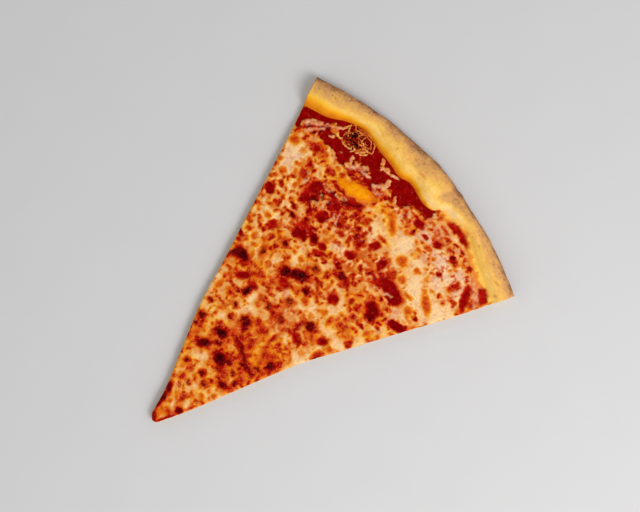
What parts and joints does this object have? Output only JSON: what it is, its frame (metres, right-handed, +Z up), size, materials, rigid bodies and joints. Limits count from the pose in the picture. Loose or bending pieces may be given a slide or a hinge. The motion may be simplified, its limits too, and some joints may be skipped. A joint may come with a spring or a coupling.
{
  "type": "cheese pizza slice",
  "caption": "Large thin-crust cheese pizza slice with a puffed golden rim, tomato sauce, browned melted cheese and a clump of charred cheese shreds, lying flat.",
  "frame": {"origin": "under the middle of the slice, on the surface it rests on", "axes": "+Z up; +Y from the tip to the rim; +X to the right as seen from above with the rim away from the viewer"},
  "size_m": [0.2124, 0.2785, 0.0166],
  "materials": {
    "crust": "baked dough, golden, browned outside",
    "sauce": "wet tomato sauce",
    "cheese": "melted cheese, oily, browned in spots",
    "charred_shreds": "crisp browned cheese shreds"
  },
  "bodies": {
    "root": {"crust": "crust", "sauce": "sauce", "cheese": "cheese", "charred_shreds": "charred_shreds"}
  },
  "joints": []
}
